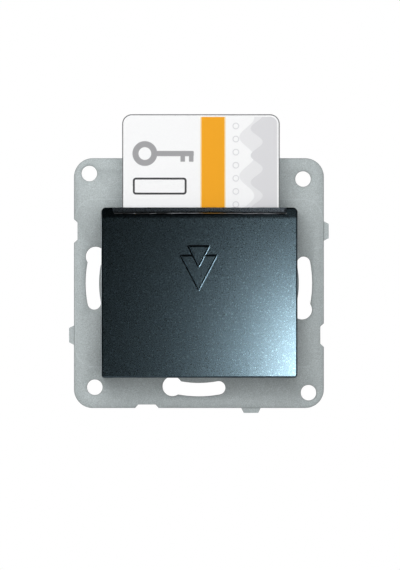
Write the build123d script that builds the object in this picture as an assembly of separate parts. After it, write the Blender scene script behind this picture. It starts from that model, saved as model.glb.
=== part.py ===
from build123d import *
import os
from math import atan2, cos, degrees, pi, radians, sin, sqrt

os.makedirs("parts", exist_ok=True)

# Hotel key card switch for a flush wall box, in millimetres.
# The origin is the centre of the steel mounting frame's back face.
# X runs to the viewer's right, Z up, and the front of the switch faces -Y.

# Steel mounting frame
plate_side = 70.8
plate_thickness = 1.2
plate_corner_radius = 5.3
window_side_lap = 3.0
window_end_lap = 3.5
window_radius = 2.0
corner_hole_diameter = 4.4
outer_hole_inset = 4.35
inner_hole_inset = 5.9
slot_circle_inset = 5.2
slot_width = 3.8
slot_head_diameter = 5.6
slot_head_angle = 14.4
slot_tail_angle = 10.7
link_offset = 14.75
notch_depth = 1.0
notch_mouth_width = 6.7
notch_root_width = 4.9
tab_reach = 1.4
tab_root_width = 5.5
tab_tip_width = 4.1
tab_thickness = 0.8

# Front cover
cover_height = 48.1
cover_drop = 2.7
cover_crown = 0.5
cover_side_wall = 0.6
cover_bottom_wall = 1.3
cover_top_wall = 1.4
cover_front_wall = 2.9
cover_top_radius = 1.3
cover_bottom_radius = 0.9
cover_edge_radius = 0.6
cover_foot_gap = 0.4
lip_recess_height = 1.45
lip_recess_depth = 1.5
lip_recess_width = 48.6
lip_recess_slant = 0.7
lip_edge_radius = 0.8
catch_length = 4.0
catch_height = 0.6
catch_reach = 1.5
slot_bevel = 0.5

# Card pocket and the guide behind it
pocket_depth = 1.8
guide_depth = 9.0
guide_wall = 1.5
guide_rim = 1.3
guide_top_gap = 0.35
guide_bottom_gap = 0.25
foot_thickness = 2.0
foot_height = 5.6
foot_side_gap = 0.6
foot_screw_edge = 3.2
foot_head_gap = 0.4
foot_lip_reach = 1.0
foot_lip_thickness = 0.8
cheek_thickness = 1.3
cheek_height = 23.0
cheek_back_gap = 0.8
seat_thickness = 1.6
seat_rise = 3.0
guide_bevel = 0.8
rib_height = 1.6
rib_rise = 9.0

# Key card
card_width = 44.5
card_side_room = 4.85
card_length = 70.6
card_thickness = 0.76
card_corner_radius = 2.7
card_offset = 0.45
card_exit_gap = 1.75

# Leaf springs that steady the card
leaf_inset = 7.5
leaf_width = 3.6
leaf_length = 20.0
leaf_thickness = 0.3
leaf_middle = -4.0
leaf_recess_depth = 1.0
leaf_card_gap = 0.06

# Card plunger
plunger_travel = 2.6
shelf_width = 16.0
shelf_thickness = 1.6
shelf_floor_gap = 0.75
web_width = 5.6
web_height = 3.7
slider_edge = 0.5
slider_thickness = 1.8
slider_height = 19.3
arm_width = 6.8
arm_thickness = 1.6
arm_back_gap = 1.4
peg_gap = 0.35
peg_length = 2.0
nose_offset = 4.5
nose_width = 2.2
nose_radius = 1.25
nose_neck_height = 1.6
nose_set_back = 0.45

# Plunger spring
spring_wire = 0.5
spring_turns = 5
spring_wire_sides = 4
spring_end_gap = 0.1

# Housing behind the frame
housing_end_inset = 4.05
housing_depth = 24.0
housing_wall = 1.6
housing_floor = 2.0
housing_corner_radius = 3.0
post_side = 3.0
ear_rise = 3.3
ear_height_offset = 12.0
ear_reach = 2.9
ear_height = 5.2
ear_depth = 6.0
ear_bevel = 1.2
web_run = 4.0
web_thickness = 1.2
barrier_thickness = 1.2
barrier_lead = 0.6
barrier_drop = 6.2
ledge_thickness = 1.2
ledge_bite = 0.4
entry_height = 4.4
entry_flare = 0.8
rear_bevel = 1.0

# Mechanism cover
lid_thickness = 1.5

# Contact lever, its pin and its bearings
pivot_back_room = 8.5
nose_rise = 7.5
pin_radius = 1.0
hub_radius = 2.5
lever_left = -3.2
fork_end_lap = 0.1
fork_wall = 1.3
fork_width = 3.6
fork_mouth_gap = 0.7
fork_lead = 0.3
lever_arm_height = 3.4
stalk_width = 6.0
stalk_tip_width = 4.8
stalk_thickness = 1.8
stalk_height = 11.2
bearing_thickness = 2.0
bearing_height = 6.0
bearing_front = 2.0

# Contacts and terminals
blade_width = 4.4
blade_thickness = 0.4
blade_hub_gap = 2.1
contact_height_share = 0.5655
tip_radius = 1.5
tip_thickness = 0.9
closed_gap = 0.1
strip_width = 4.8
strip_thickness = 0.7
strip_tail = 2.6
link_bar_height = 3.0
line_drop_width = 3.4
line_ear_height = 7.0
line_ear_reach = 2.0
terminal_side_gap = 0.8
terminal_length = 9.0
terminal_thickness = 0.8
terminal_head_room = 6.6
terminal_screw_inset = 4.4
terminal_screw_radius = 1.5
terminal_head_radius = 2.5
terminal_head_height = 1.6
clamp_side_gap = 1.4
clamp_length = 6.4
clamp_thickness = 1.2
wire_space = 3.0
spare_neck_width = 2.6
strip_bend = 0.6

# Assembly screws and claws
screw_radius = 1.3
screw_length = 8.0
screw_head_radius = 2.4
screw_head_height = 1.6
driver_slot_width = 0.7
driver_slot_share = 0.5
claw_screw_arm = 2.2
claw_screw_radius = 1.5
claw_screw_head_radius = 2.7
claw_screw_head_height = 1.8
claw_screw_tail = 1.9
claw_pivot_rise = 1.6
claw_pivot_inset = 3.4
claw_trunnion_radius = 0.8
claw_trunnion_reach = 1.3
claw_front = 5.0
claw_metal = 1.2
claw_inner_half_height = 2.4
claw_web_arm = 4.8
claw_tooth_reach = 1.2
claw_tooth_count = 3
claw_leg_inset = 0.7
claw_swing = 15.0
claw_bend = 1.0
lug_reach = 3.2
lug_thickness = 1.3
lug_length = 2.8
lug_bevel = 0.7

# Fits and clearances
overrun = 1.0
sliding_gap = 0.15
running_gap = 0.05
part_gap = 0.2
side_gap = 0.3
tiny = 0.01
points_per_turn = 24

# Places worked out from the sizes above
outer_hole_reach = plate_side / 2 - outer_hole_inset
inner_hole_reach = plate_side / 2 - inner_hole_inset
slot_circle_radius = plate_side / 2 - slot_circle_inset
cover_inner_half = card_width / 2 + card_side_room
cover_width = (cover_inner_half + cover_side_wall) * 2
foot_tip = cover_inner_half - foot_side_gap
ear_offset = foot_tip - foot_lip_reach - foot_screw_edge
guide_half = ear_offset - screw_head_radius - foot_head_gap
housing_half = ear_offset - ear_rise
housing_width = housing_half * 2
housing_height = cover_height - housing_end_inset * 2
window_width = housing_width - window_side_lap * 2
window_height = housing_height - window_end_lap * 2
plate_front = -plate_thickness
pocket_back = plate_front - guide_depth
pocket_front = pocket_back - pocket_depth
cover_front = pocket_front - cover_front_wall
cover_back = plate_front - cover_foot_gap
cover_top = cover_height / 2 - cover_drop
cover_bottom = cover_top - cover_height
inner_floor = cover_bottom + cover_bottom_wall
inner_roof = cover_top - cover_top_wall
guide_top = inner_roof - guide_top_gap
guide_bottom = inner_floor + guide_bottom_gap
guide_rear = pocket_back + guide_wall
leaf_offset = guide_half - leaf_inset
shelf_bottom = inner_floor + shelf_floor_gap
shelf_top = shelf_bottom + shelf_thickness
card_bottom = shelf_top + part_gap
card_top = card_bottom + card_length
card_middle = (pocket_back + pocket_front) / 2
card_travel = cover_top - card_bottom + card_exit_gap
slider_width = (nose_offset + nose_width / 2 + slider_edge) * 2
slider_front = guide_rear + part_gap
slider_back = slider_front + slider_thickness
slider_bottom = guide_bottom + guide_rim + side_gap
slider_top = slider_bottom + slider_height
arm_back = plate_front - arm_back_gap
spring_axis_y = (slider_back + arm_back) / 2
spring_mean_radius = (arm_back - slider_back - spring_wire) / 2 - part_gap
peg_radius = spring_mean_radius - spring_wire / 2 - peg_gap
seat_top = slider_bottom + seat_rise + seat_thickness
pivot_height = seat_top + nose_rise
housing_back_face = housing_depth - housing_floor
pivot_depth = housing_back_face - pivot_back_room
lever_right = nose_offset + fork_width / 2 + fork_end_lap
nose_tip_y = lid_thickness + fork_mouth_gap + nose_radius - nose_set_back
lever_reach = pivot_depth - nose_tip_y
lever_swing = degrees(atan2(plunger_travel, lever_reach))
housing_inner_half = housing_half - housing_wall
housing_inner_height = housing_height / 2 - housing_wall
cell_width = (housing_inner_half - barrier_thickness) * 2 / 3
side_terminal = cell_width + barrier_thickness
terminal_places = (-side_terminal, 0.0, side_terminal)
terminal_width = cell_width - terminal_side_gap * 2
ledge_offset = terminal_width / 2 - ledge_bite
clamp_width = cell_width - clamp_side_gap * 2
terminal_height = housing_inner_height - terminal_head_room
barrier_bottom = terminal_height - barrier_drop
link_bar_top = barrier_bottom - side_gap
contact_height = (link_bar_top - pivot_height) * contact_height_share
contact_z = pivot_height + contact_height
stalk_front = pivot_depth - stalk_thickness / 2
stalk_back = pivot_depth + stalk_thickness / 2
blade_front = stalk_front - blade_thickness
front_tip_face = blade_front - tip_thickness
rear_tip_face = stalk_back + tip_thickness
load_strip_back = front_tip_face - closed_gap - tip_thickness
load_strip_front = load_strip_back - strip_thickness
terminal_screw_depth = load_strip_front + terminal_screw_inset
barrier_front = load_strip_front - barrier_lead
terminal_top = terminal_height + terminal_thickness
clamp_top = terminal_height - wire_space
claw_pivot_offset = housing_half + claw_pivot_rise
claw_pivot_depth = housing_depth - claw_pivot_inset
claw_screw_offset = claw_pivot_offset + claw_screw_arm
claw_web_offset = claw_pivot_offset + claw_web_arm


def block(x_range, y_range, z_range):
    """A box given by its limits along X, Y and Z."""
    ranges = (x_range, y_range, z_range)
    middle = [(low + high) / 2 for low, high in ranges]
    size = [high - low for low, high in ranges]
    return Pos(*middle) * Box(*size)


def slab(sketch, front, back):
    """A sketch drawn in X and Z, given thickness between two Y planes."""
    plane = Plane(origin=(0, back, 0), x_dir=(1, 0, 0), z_dir=(0, -1, 0))
    return extrude(plane * sketch, amount=back - front)


def side_slab(sketch, left, right):
    """A sketch drawn in Y and Z, given thickness between two X planes."""
    plane = Plane(origin=(left, 0, 0), x_dir=(0, 1, 0), z_dir=(1, 0, 0))
    return extrude(plane * sketch, amount=right - left)


def rod(start, end, radius):
    """A round bar between two points."""
    axis = Vector(*end) - Vector(*start)
    return extrude(Plane(origin=start, z_dir=axis) * Circle(radius), amount=axis.length)


def slotted_screw(head_centre, direction, head_radius, head_height, shank_radius, shank_length):
    """A screw whose shank starts at the head centre and runs along the direction."""
    start = Vector(*head_centre)
    along = Vector(*direction)
    head = rod(start, start - along * head_height, head_radius)
    shank = rod(start, start + along * shank_length, shank_radius)
    slot_plane = Plane(origin=start - along * head_height, z_dir=along)
    slot = slot_plane * Rectangle(head_radius * 2 + overrun, driver_slot_width)
    return head + shank - extrude(slot, amount=head_height * driver_slot_share)


def make_mounting_frame():
    """Square steel frame with arc slots, corner holes and links for a row of frames."""
    half = plate_side / 2
    outline = RectangleRounded(plate_side, plate_side, plate_corner_radius)
    notch = Polygon(
        (-notch_mouth_width / 2, overrun),
        (notch_mouth_width / 2, overrun),
        (notch_mouth_width / 2, 0),
        (notch_root_width / 2, -notch_depth),
        (-notch_root_width / 2, -notch_depth),
        (-notch_mouth_width / 2, 0),
        align=None,
    )
    tab = Polygon(
        (-tab_root_width / 2, -overrun),
        (tab_root_width / 2, -overrun),
        (tab_root_width / 2, 0),
        (tab_tip_width / 2, tab_reach),
        (-tab_tip_width / 2, tab_reach),
        (-tab_root_width / 2, 0),
        align=None,
    )
    head_angle = 180 - slot_head_angle
    arc = CenterArc((0, 0), slot_circle_radius, head_angle, slot_head_angle + slot_tail_angle)
    keyhole = SlotArc(arc.edge(), slot_width) + Pos(arc @ 0) * Circle(slot_head_diameter / 2)
    tabs = Sketch()
    for quarter in range(4):
        turn = Rot(0, 0, 90 * quarter)
        outline -= turn * keyhole
        outline -= turn * Pos(link_offset, half) * notch
        tabs += turn * Pos(-link_offset, half) * tab
    hole = Circle(corner_hole_diameter / 2)
    for side in (-1, 1):
        outline -= Pos(-side * outer_hole_reach, side * outer_hole_reach) * hole
        outline -= Pos(side * inner_hole_reach, side * inner_hole_reach) * hole
        outline -= Pos(side * claw_screw_offset, 0) * Circle(claw_screw_radius + part_gap)
        for end in (-1, 1):
            outline -= Pos(side * ear_offset, end * ear_height_offset) * Circle(screw_radius + part_gap)
    outline -= RectangleRounded(window_width, window_height, window_radius)
    return slab(outline, plate_front, 0) + slab(tabs, -tab_thickness, 0)


def make_front_cover():
    """Deep hood with a crowned face, open at the top for the card and at the back."""
    half = cover_width / 2
    brow = cover_front + cover_crown
    middle = (cover_top + cover_bottom) / 2
    face_line = ThreePointArc((-half, brow), (0, cover_front), (half, brow))
    side_lines = Polyline((half, brow), (half, cover_back), (-half, cover_back), (-half, brow))
    plan = make_face([*face_line.edges(), *side_lines.edges()])
    body = extrude(Plane.XY.offset(cover_bottom) * plan, amount=cover_height)
    outline = Pos(0, middle) * Rectangle(cover_width, cover_height)
    outline = fillet(outline.vertices().sort_by(Axis.Y)[-2:], cover_top_radius)
    outline = fillet(outline.vertices().sort_by(Axis.Y)[:2], cover_bottom_radius)
    body &= slab(outline, cover_front - overrun, cover_back + overrun)
    front_face = body.faces().sort_by(Axis.Y)[0]
    body = fillet(front_face.edges(), cover_edge_radius)

    recess_floor = cover_top - lip_recess_height
    recess_half = lip_recess_width / 2
    recess = Polygon(
        (-recess_half, recess_floor),
        (recess_half, recess_floor),
        (recess_half + lip_recess_slant, cover_top + overrun),
        (-recess_half - lip_recess_slant, cover_top + overrun),
        align=None,
    )
    lip_face = cover_front + lip_recess_depth
    body -= slab(recess, cover_front - overrun, lip_face)
    edge_line = [
        edge
        for edge in body.edges()
        if abs(edge.center().Z - recess_floor) < tiny and edge.center().Y < cover_front + tiny
    ]
    body = fillet(edge_line, lip_edge_radius)

    width = (-cover_inner_half, cover_inner_half)
    body -= block(width, (pocket_front, pocket_back + part_gap), (inner_floor, cover_top + overrun))
    body -= block(width, (pocket_front, cover_back + overrun), (inner_floor, inner_roof))
    slot_line = [
        edge
        for edge in body.edges()
        if abs(edge.center().Z - cover_top) < tiny and abs(edge.center().Y - pocket_front) < tiny
    ]
    body = chamfer(slot_line, slot_bevel)
    for side in (-1, 1):
        for end in (-1, 1):
            body += cover_catch(side, end)
    return body


def cover_catch(side, end):
    """Small wedge inside the cover's side wall that snaps behind a foot of the guide."""
    root = side * (cover_inner_half + cover_side_wall / 2)
    wall = side * cover_inner_half
    tip = side * (cover_inner_half - catch_reach)
    back = cover_back
    front = cover_back - catch_height
    points = ((root, front), (tip, front), (tip, (front + back) / 2), (wall, back), (root, back))
    plan = make_face(Polyline(*points, close=True))
    middle = end * ear_height_offset
    return extrude(Plane.XY.offset(middle - catch_length / 2) * plan, amount=catch_length)


def make_card_guide():
    """Carrier behind the card: pocket wall, side walls, plunger rails and screwed feet."""
    outer = block((-guide_half, guide_half), (pocket_back, plate_front), (guide_bottom, guide_top))
    lead_in = outer.faces().sort_by(Axis.Y)[0].edges().sort_by(Axis.Z)[-1]
    outer = chamfer([lead_in, *outer.edges().filter_by(Axis.Y)], guide_bevel)
    inner = block(
        (-guide_half + guide_rim, guide_half - guide_rim),
        (guide_rear, plate_front + overrun),
        (guide_bottom + guide_rim, guide_top - guide_rim),
    )
    body = outer - inner
    for side in (-1, 1):
        for end in (-1, 1):
            body += guide_foot(side, end)
        cheek_inner = side * (slider_width / 2 + side_gap)
        cheek_outer = cheek_inner + side * cheek_thickness
        body += block(
            sorted((cheek_inner, cheek_outer)),
            (guide_rear, plate_front - cheek_back_gap),
            (guide_bottom + guide_rim, guide_bottom + guide_rim + cheek_height),
        )
        body += block(
            sorted((cheek_inner, cheek_outer)), (guide_rear, guide_rear + rib_height), (seat_top, guide_top)
        )
        recess_x = side * leaf_offset
        recess_half = leaf_width / 2 + side_gap
        body -= block(
            (recess_x - recess_half, recess_x + recess_half),
            (pocket_back - overrun, pocket_back + leaf_recess_depth),
            (leaf_middle - leaf_length / 2 - side_gap, leaf_middle + leaf_length / 2 + side_gap),
        )
    body += block(
        (-slider_width / 2 - side_gap, slider_width / 2 + side_gap),
        (slider_back + side_gap, plate_front - cheek_back_gap),
        (seat_top - seat_thickness, seat_top),
    )
    rib_bottom = slider_top + plunger_travel + rib_rise
    body += block(
        (-slider_width / 2 - side_gap, slider_width / 2 + side_gap),
        (guide_rear, guide_rear + rib_height),
        (rib_bottom, rib_bottom + cheek_thickness),
    )
    web_half = web_width / 2 + side_gap
    body -= block(
        (-web_half, web_half),
        (pocket_back - overrun, slider_back + side_gap),
        (guide_bottom - overrun, shelf_bottom + web_height + plunger_travel + side_gap),
    )
    return body


def guide_foot(side, end):
    """Foot of the guide on the frame, with its screw hole and the lip that holds the cover."""
    root = side * (guide_half - guide_rim / 2)
    reach = side * (foot_tip - foot_lip_reach)
    lip = side * foot_tip
    front = plate_front - foot_thickness
    middle = end * ear_height_offset
    span = (middle - foot_height / 2, middle + foot_height / 2)
    foot = block(sorted((root, reach)), (front, plate_front), span)
    foot += block(sorted((root, lip)), (front, front + foot_lip_thickness), span)
    place = side * ear_offset
    hole_radius = screw_radius + part_gap
    return foot - rod((place, front - overrun, middle), (place, plate_front + overrun, middle), hole_radius)


def make_key_card():
    """Plastic card standing in the pocket with its lower edge on the plunger."""
    middle = (card_top + card_bottom) / 2
    outline = Pos(card_offset, middle) * RectangleRounded(card_width, card_length, card_corner_radius)
    return slab(outline, card_middle - card_thickness / 2, card_middle + card_thickness / 2)


def make_card_springs():
    """Two bowed leaf springs that lie in the pocket wall and press on the card."""
    crest = card_middle + card_thickness / 2 + leaf_card_gap
    seat = pocket_back + leaf_recess_depth
    low = leaf_middle - leaf_length / 2
    high = leaf_middle + leaf_length / 2
    outer = ThreePointArc((seat - leaf_thickness, low), (crest, leaf_middle), (seat - leaf_thickness, high))
    inner = ThreePointArc((seat, high), (crest + leaf_thickness, leaf_middle), (seat, low))
    ends = (
        Line((seat - leaf_thickness, high), (seat, high)),
        Line((seat, low), (seat - leaf_thickness, low)),
    )
    bow = make_face([*outer.edges(), *ends[0].edges(), *inner.edges(), *ends[1].edges()])
    leaves = [
        side_slab(bow, side * leaf_offset - leaf_width / 2, side * leaf_offset + leaf_width / 2)
        for side in (-1, 1)
    ]
    return Part() + leaves


def make_card_plunger():
    """Shelf that the card presses down, with its slider, spring arm and drive nose."""
    shelf_front = pocket_front + sliding_gap
    body = block(
        (-shelf_width / 2, shelf_width / 2),
        (shelf_front, pocket_back - sliding_gap),
        (shelf_bottom, shelf_top),
    )
    body += block(
        (-web_width / 2, web_width / 2),
        (pocket_back - sliding_gap * 2, slider_back),
        (shelf_bottom, shelf_bottom + web_height),
    )
    body += block(
        (-slider_width / 2, slider_width / 2), (slider_front, slider_back), (slider_bottom, slider_top)
    )
    body += block(
        (-arm_width / 2, arm_width / 2), (slider_front, arm_back), (slider_top - arm_thickness, slider_top)
    )
    peg_top = slider_top - arm_thickness
    body += rod((0, spring_axis_y, peg_top), (0, spring_axis_y, peg_top - peg_length), peg_radius)
    left = nose_offset - nose_width / 2
    right = nose_offset + nose_width / 2
    body += block(
        (left, right),
        (slider_front, nose_tip_y),
        (pivot_height - nose_neck_height / 2, pivot_height + nose_neck_height / 2),
    )
    body += rod((left, nose_tip_y, pivot_height), (right, nose_tip_y, pivot_height), nose_radius)
    return body


def make_plunger_spring():
    """Compression spring as one unbroken wire, wound from half turns of two arcs each."""
    start = Vector(0, spring_axis_y, seat_top + spring_end_gap + spring_wire / 2)
    length = slider_top - arm_thickness - spring_end_gap - spring_wire / 2 - start.Z
    rise = length / (spring_turns * 2)
    slope = rise / (pi * spring_mean_radius)
    edges = []
    for half_turn in range(spring_turns * 2):
        side = 1 if half_turn % 2 == 0 else -1
        first = start + Vector(side * spring_mean_radius, 0, rise * half_turn)
        last = start + Vector(-side * spring_mean_radius, 0, rise * (half_turn + 1))
        leaving = Vector(0, side, slope).normalized()
        arriving = Vector(0, -side, slope).normalized()
        join = biarc_join(first, leaving, last, arriving)
        edges.append(Edge.make_tangent_arc(first, leaving, join))
        edges.append(Edge.make_tangent_arc(join, edges[-1] % 1, last))
    wire = Wire(edges)
    print("plunger spring least gap", round(least_gap(wire), 2))
    section = Plane(origin=wire @ 0, z_dir=wire % 0) * RegularPolygon(spring_wire / 2, spring_wire_sides)
    return sweep(section, path=wire)


def biarc_join(first, leaving, last, arriving):
    """The point where two equal-handled tangent arcs between two ends meet."""
    chord = last - first
    both = leaving + arriving
    square = both.dot(both) - 4
    linear = -2 * chord.dot(both)
    constant = chord.dot(chord)
    handle = (-linear - sqrt(linear * linear - 4 * square * constant)) / (2 * square)
    return (first + leaving * handle + last - arriving * handle) / 2


def least_gap(wire):
    """Clear distance between neighbouring turns of the spring, measured on points of its wire."""
    steps = spring_turns * points_per_turn
    points = [wire @ (step / steps) for step in range(steps + 1)]
    apart = points_per_turn * 3 // 4
    nearest = min(
        (points[later] - points[first]).length
        for first in range(steps + 1 - apart)
        for later in range(first + apart, steps + 1)
    )
    return nearest - spring_wire


def make_mechanism_cover():
    """Insulating lid on the housing, with a raised field that fills the frame's window."""
    half_width = housing_inner_half - part_gap
    half_height = housing_inner_height - part_gap
    lid = slab(Rectangle(half_width * 2, half_height * 2), 0, lid_thickness)
    field = Rectangle(window_width - sliding_gap * 2, window_height - sliding_gap * 2)
    lid += slab(chamfer(field.vertices(), window_radius), plate_front, 0)
    nose_half = nose_width / 2 + side_gap
    return lid - block(
        (nose_offset - nose_half, nose_offset + nose_half),
        (plate_front - overrun, lid_thickness + overrun),
        (pivot_height - nose_radius - side_gap, pivot_height + nose_radius + plunger_travel + side_gap),
    )


def make_housing():
    """Moulded base in the wall box: walls, posts, bearings, terminal cells and claw lugs."""
    outline = RectangleRounded(housing_width, housing_height, housing_corner_radius)
    hollow = Rectangle(housing_width - housing_wall * 2, housing_height - housing_wall * 2)
    shell = slab(outline, 0, housing_depth)
    shell = chamfer(shell.faces().sort_by(Axis.Y)[-1].edges(), rear_bevel)
    body = shell - slab(hollow, -overrun, housing_back_face)
    for side in (-1, 1):
        for end in (-1, 1):
            body += corner_post(side, end)
            body += screw_ear(side, end)
            body += claw_lug(side, end)
        body += barrier(side)
    for left in (lever_left - part_gap - bearing_thickness, lever_right + part_gap):
        body += pin_bearing(left)
    for place in terminal_places:
        body += terminal_ledges(place)
        body -= conductor_mouth(place)
        body -= rod(
            (place, terminal_screw_depth, housing_inner_height - overrun),
            (place, terminal_screw_depth, housing_height / 2 + overrun),
            terminal_head_radius + part_gap,
        )
    return body


def corner_post(side, end):
    """Post in a corner of the housing that carries the lid."""
    return block(
        sorted((side * (housing_inner_half - post_side), side * (housing_inner_half + housing_wall / 2))),
        (lid_thickness, housing_depth - housing_floor / 2),
        sorted((end * (housing_inner_height - post_side), end * (housing_inner_height + housing_wall / 2))),
    )


def screw_ear(side, end):
    """Ear beside the housing that takes one of the assembly screws, with a web behind it."""
    middle = end * ear_height_offset
    root = side * (housing_half - housing_wall / 2)
    wall = side * housing_half
    shoulder = side * (ear_offset + ear_reach - ear_bevel)
    tip = side * (ear_offset + ear_reach)
    half = ear_height / 2
    corners = (
        (root, -half), (shoulder, -half), (tip, ear_bevel - half),
        (tip, half - ear_bevel), (shoulder, half), (root, half),
    )
    ear = slab(Pos(0, middle) * make_face(Polyline(*corners, close=True)), 0, ear_depth)
    web_line = (
        (root, ear_depth), (shoulder, ear_depth), (wall, ear_depth + web_run), (root, ear_depth + web_run)
    )
    web = make_face(Polyline(*web_line, close=True))
    ear += extrude(Plane.XY.offset(middle - web_thickness / 2) * web, amount=web_thickness)
    place = side * ear_offset
    hole_radius = screw_radius + running_gap
    return ear - rod((place, -overrun, middle), (place, ear_depth + overrun, middle), hole_radius)


def claw_lug(side, end):
    """Lug on the housing's side that carries one trunnion of a claw."""
    near = claw_inner_half_height + claw_metal + side_gap
    root = side * (housing_half - housing_wall / 2)
    shoulder = side * (housing_half + lug_reach - lug_bevel)
    tip = side * (housing_half + lug_reach)
    front = claw_pivot_depth - lug_length / 2
    back = claw_pivot_depth + lug_length / 2
    corners = (
        (root, front), (shoulder, front), (tip, front + lug_bevel),
        (tip, back - lug_bevel), (shoulder, back), (root, back),
    )
    plan = make_face(Polyline(*corners, close=True))
    low = min(end * near, end * (near + lug_thickness))
    lug = extrude(Plane.XY.offset(low) * plan, amount=lug_thickness)
    place = side * claw_pivot_offset
    return lug - rod(
        (place, claw_pivot_depth, end * (near - overrun)),
        (place, claw_pivot_depth, end * (near + lug_thickness + overrun)),
        claw_trunnion_radius + running_gap,
    )


def barrier(side):
    """Wall between two terminal cells."""
    middle = side * (cell_width + barrier_thickness) / 2
    return block(
        (middle - barrier_thickness / 2, middle + barrier_thickness / 2),
        (barrier_front, housing_depth - housing_floor / 2),
        (barrier_bottom, housing_inner_height + housing_wall / 2),
    )


def pin_bearing(left):
    """Bearing wall for the lever pin, rising from the housing's floor."""
    wall = block(
        (left, left + bearing_thickness),
        (pivot_depth - bearing_front, housing_depth - housing_floor / 2),
        (pivot_height - bearing_height / 2, pivot_height + bearing_height / 2),
    )
    return wall - rod(
        (left - overrun, pivot_depth, pivot_height),
        (left + bearing_thickness + overrun, pivot_depth, pivot_height),
        pin_radius + running_gap,
    )


def terminal_ledges(place):
    """Two ledges in a cell on which the terminal strip lies."""
    depth = (barrier_front + terminal_thickness * 2, housing_depth - housing_floor / 2)
    height = (terminal_height - ledge_thickness, terminal_height)
    root = (cell_width + barrier_thickness) / 2
    left = block((place - root, place - ledge_offset), depth, height)
    return left + block((place + ledge_offset, place + root), depth, height)


def conductor_mouth(place):
    """Flared opening through the housing's back wall for two conductors, below a terminal strip."""
    half = ledge_offset - part_gap
    top = terminal_height - part_gap
    mouth = block(
        (place - half, place + half),
        (housing_back_face - overrun, housing_depth + overrun),
        (top - entry_height, top),
    )
    rear = Plane(origin=(place, housing_depth, top - entry_height / 2), x_dir=(1, 0, 0), z_dir=(0, -1, 0))
    flare = rear * Rectangle((half + entry_flare) * 2, entry_height + entry_flare * 2)
    return mouth + extrude(flare, amount=entry_flare, taper=45)


def make_contact_lever():
    """Bell crank: a fork on the plunger's nose, a hub on the pin, a stalk for the contact."""
    hub = rod((lever_left, pivot_depth, pivot_height), (lever_right, pivot_depth, pivot_height), hub_radius)
    left = nose_offset - fork_width / 2
    right = nose_offset + fork_width / 2
    slot_half = nose_radius + sliding_gap
    mouth = lid_thickness + fork_mouth_gap
    root = nose_tip_y + nose_radius + side_gap
    fork_half = slot_half + fork_wall
    arm_half = lever_arm_height / 2
    side_line = (
        (mouth, -fork_half), (root + fork_wall, -fork_half), (pivot_depth, -arm_half),
        (pivot_depth, arm_half), (root + fork_wall, fork_half), (mouth, fork_half),
    )
    arm = side_slab(Pos(0, pivot_height) * make_face(Polyline(*side_line, close=True)), left, right)
    slot_line = (
        (mouth, -slot_half - fork_lead), (mouth + fork_lead, -slot_half), (root, -slot_half),
        (root, slot_half), (mouth + fork_lead, slot_half), (mouth, slot_half + fork_lead),
    )
    slot = side_slab(Pos(0, pivot_height) * make_face(Polyline(*slot_line, close=True)), left, right)
    shoulder = stalk_height - tip_radius
    stalk_line = (
        (-stalk_width / 2, 0), (stalk_width / 2, 0), (stalk_tip_width / 2, shoulder),
        (stalk_tip_width / 2 - tip_radius / 2, stalk_height),
        (tip_radius / 2 - stalk_tip_width / 2, stalk_height), (-stalk_tip_width / 2, shoulder),
    )
    outline = make_face(Polyline(*stalk_line, close=True))
    stalk = slab(Pos(0, pivot_height) * outline, stalk_front, stalk_back)
    tip_hole = rivet_shank(stalk_front - overrun, stalk_back + overrun, running_gap)
    bore = rod(
        (lever_left - overrun, pivot_depth, pivot_height),
        (lever_right + overrun, pivot_depth, pivot_height),
        pin_radius + running_gap,
    )
    return hub + arm + stalk - slot - bore - tip_hole


def make_lever_pin():
    """Steel pin through both bearings, the lever and the line strip's ear."""
    left = lever_left - part_gap * 2 - bearing_thickness - strip_thickness - side_gap
    right = lever_right + part_gap + bearing_thickness
    return rod((left, pivot_depth, pivot_height), (right, pivot_depth, pivot_height), pin_radius)


def make_moving_contact():
    """Contact blade on the front of the lever's stalk."""
    bottom = pivot_height + hub_radius + blade_hub_gap
    blade = block(
        (-blade_width / 2, blade_width / 2), (blade_front, stalk_front), (bottom, contact_z + tip_radius)
    )
    return blade - rivet_shank(blade_front - overrun, stalk_front + overrun, running_gap)


def make_moving_tips():
    """Silver rivet through the blade and stalk, with a contact face at each end."""
    front = rod((0, front_tip_face, contact_z), (0, blade_front, contact_z), tip_radius)
    rear = rod((0, stalk_back, contact_z), (0, rear_tip_face, contact_z), tip_radius)
    return front + rivet_shank(blade_front, stalk_back, 0) + rear


def rivet_shank(front, back, gap):
    """Square shank of the contact rivet, which keeps it from turning, made larger by a gap."""
    half = tip_radius / 2 + gap
    return block((-half, half), (front, back), (contact_z - half, contact_z + half))


def rear_contact_face():
    """Y of the break contact's face, just behind the moving tip at the end of its swing."""
    swing = radians(lever_swing)
    reach = rear_tip_face - pivot_depth
    return pivot_depth + reach * cos(swing) + (contact_height + tip_radius) * sin(swing) + closed_gap


def make_fixed_tips():
    """Square silver contact faces welded on the load strip and on the spare strip."""
    span = (contact_z - tip_radius, contact_z + tip_radius)
    tips = [
        block((-tip_radius, tip_radius), (face, face + tip_thickness), span)
        for face in (load_strip_back, rear_contact_face())
    ]
    return Part() + tips


def terminal_plate(place, front, back):
    """Flat end of a strip that lies over the conductors, with its screw hole."""
    half = terminal_width / 2
    plate = block((place - half, place + half), (front, back), (terminal_height, terminal_top))
    return plate - rod(
        (place, terminal_screw_depth, terminal_height - overrun),
        (place, terminal_screw_depth, terminal_top + overrun),
        terminal_screw_radius + running_gap,
    )


def with_fold(strip, face):
    """A strip whose outer corner at its top, on the face at the given Y, is rounded as by folding."""
    corner = [
        edge
        for edge in strip.edges()
        if abs(edge.center().Y - face) < tiny and abs(edge.center().Z - terminal_top) < tiny
    ]
    return fillet(corner, strip_bend)


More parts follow.
